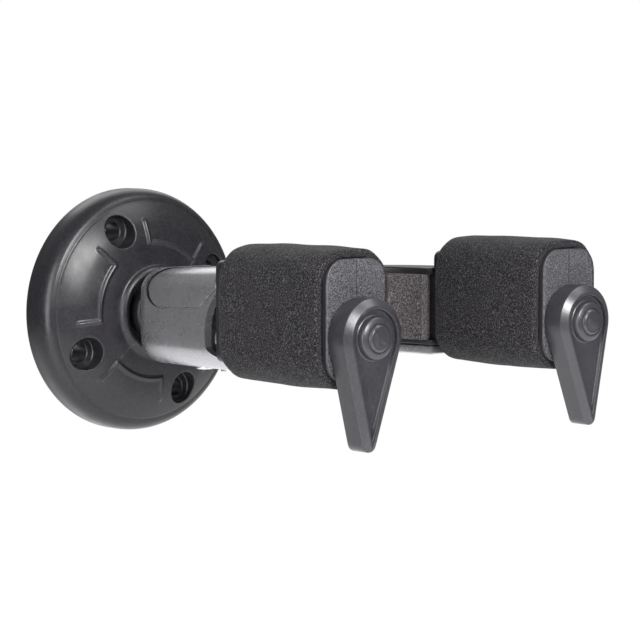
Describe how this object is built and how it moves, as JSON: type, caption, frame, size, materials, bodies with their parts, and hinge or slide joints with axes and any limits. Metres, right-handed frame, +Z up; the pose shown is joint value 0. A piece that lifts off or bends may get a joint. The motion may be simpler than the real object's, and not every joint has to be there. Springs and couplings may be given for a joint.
{
  "type": "wall guitar hanger",
  "caption": "Wall hanger for a guitar: round base, swivelling silver knuckle with a flip-up lever, foam-lined yoke and padded arms with turning teardrop gates.",
  "frame": {"origin": "centre of the base's wall face", "axes": "+X right facing the wall, +Y into the wall, +Z up; the arms reach out along -Y"},
  "size_m": [0.1048, 0.1606, 0.076],
  "materials": {
    "black_moulding": "satin, fine moulded grain",
    "gate_black": "satin, smooth",
    "black_nylon": "matte",
    "satin_silver": "satin, softly reflecting",
    "zinc_steel": "zinc plated",
    "foam": "dense textured foam"
  },
  "bodies": {
    "base": {"base_plate": "black_moulding", "back_plate": "zinc_steel", "swivel_collar": "black_nylon"},
    "knuckle": {"knuckle_housing": "satin_silver", "knuckle_core": "black_nylon", "core_screw_1": "zinc_steel", "core_screw_2": "zinc_steel", "spindle": "zinc_steel", "spindle_washer": "zinc_steel", "spindle_nut": "zinc_steel", "lever_pin": "zinc_steel", "pan_bolt": "zinc_steel", "pan_nut": "zinc_steel", "pan_washer_low": "black_nylon", "pan_washer_high": "black_nylon"},
    "lever": {"lock_lever": "satin_silver"},
    "yoke": {"yoke_frame": "black_moulding", "yoke_tray": "satin_silver", "neck_cushion": "foam", "left_tray_screw_1": "zinc_steel", "left_tray_screw_2": "zinc_steel", "left_arm_outer": "black_moulding", "left_arm_inner": "black_moulding", "left_foam_sleeve": "foam", "left_arm_bolt_1": "zinc_steel", "left_arm_bolt_2": "zinc_steel", "left_arm_screw_1": "zinc_steel", "left_arm_screw_2": "zinc_steel", "left_gate_washer": "black_nylon", "right_tray_screw_1": "zinc_steel", "right_tray_screw_2": "zinc_steel", "right_arm_outer": "black_moulding", "right_arm_inner": "black_moulding", "right_foam_sleeve": "foam", "right_arm_bolt_1": "zinc_steel", "right_arm_bolt_2": "zinc_steel", "right_arm_screw_1": "zinc_steel", "right_arm_screw_2": "zinc_steel", "right_gate_washer": "black_nylon"},
    "left_gate": {"left_gate": "gate_black", "left_gate_cap": "gate_black", "left_gate_axle": "zinc_steel", "left_gate_nut": "zinc_steel", "left_spring_washer": "zinc_steel"},
    "right_gate": {"right_gate": "gate_black", "right_gate_cap": "gate_black", "right_gate_axle": "zinc_steel", "right_gate_nut": "zinc_steel", "right_spring_washer": "zinc_steel"}
  },
  "joints": [
    {"name": "arm_swivel", "type": "hinge", "parent": "base", "child": "knuckle", "pos_m": [0, -0.02, 0], "axis": [0, 1, 0], "range_deg": [-90, 90]},
    {"name": "lever_flip", "type": "hinge", "parent": "knuckle", "child": "lever", "pos_m": [0, -0.037, 0.0089], "axis": [-1, 0, 0], "range_deg": [0, 35]},
    {"name": "yoke_pan", "type": "hinge", "parent": "knuckle", "child": "yoke", "pos_m": [0, -0.066, 0], "axis": [0, 0, 1], "range_deg": [-30, 30]},
    {"name": "left_gate_turn", "type": "hinge", "parent": "yoke", "child": "left_gate", "pos_m": [-0.0398, -0.155, 0.0031], "axis": [0, -1, 0], "range_deg": [0, 92.4]},
    {"name": "right_gate_turn", "type": "hinge", "parent": "yoke", "child": "right_gate", "pos_m": [0.0398, -0.155, 0.0031], "axis": [0, 1, 0], "range_deg": [0, 95]}
  ]
}
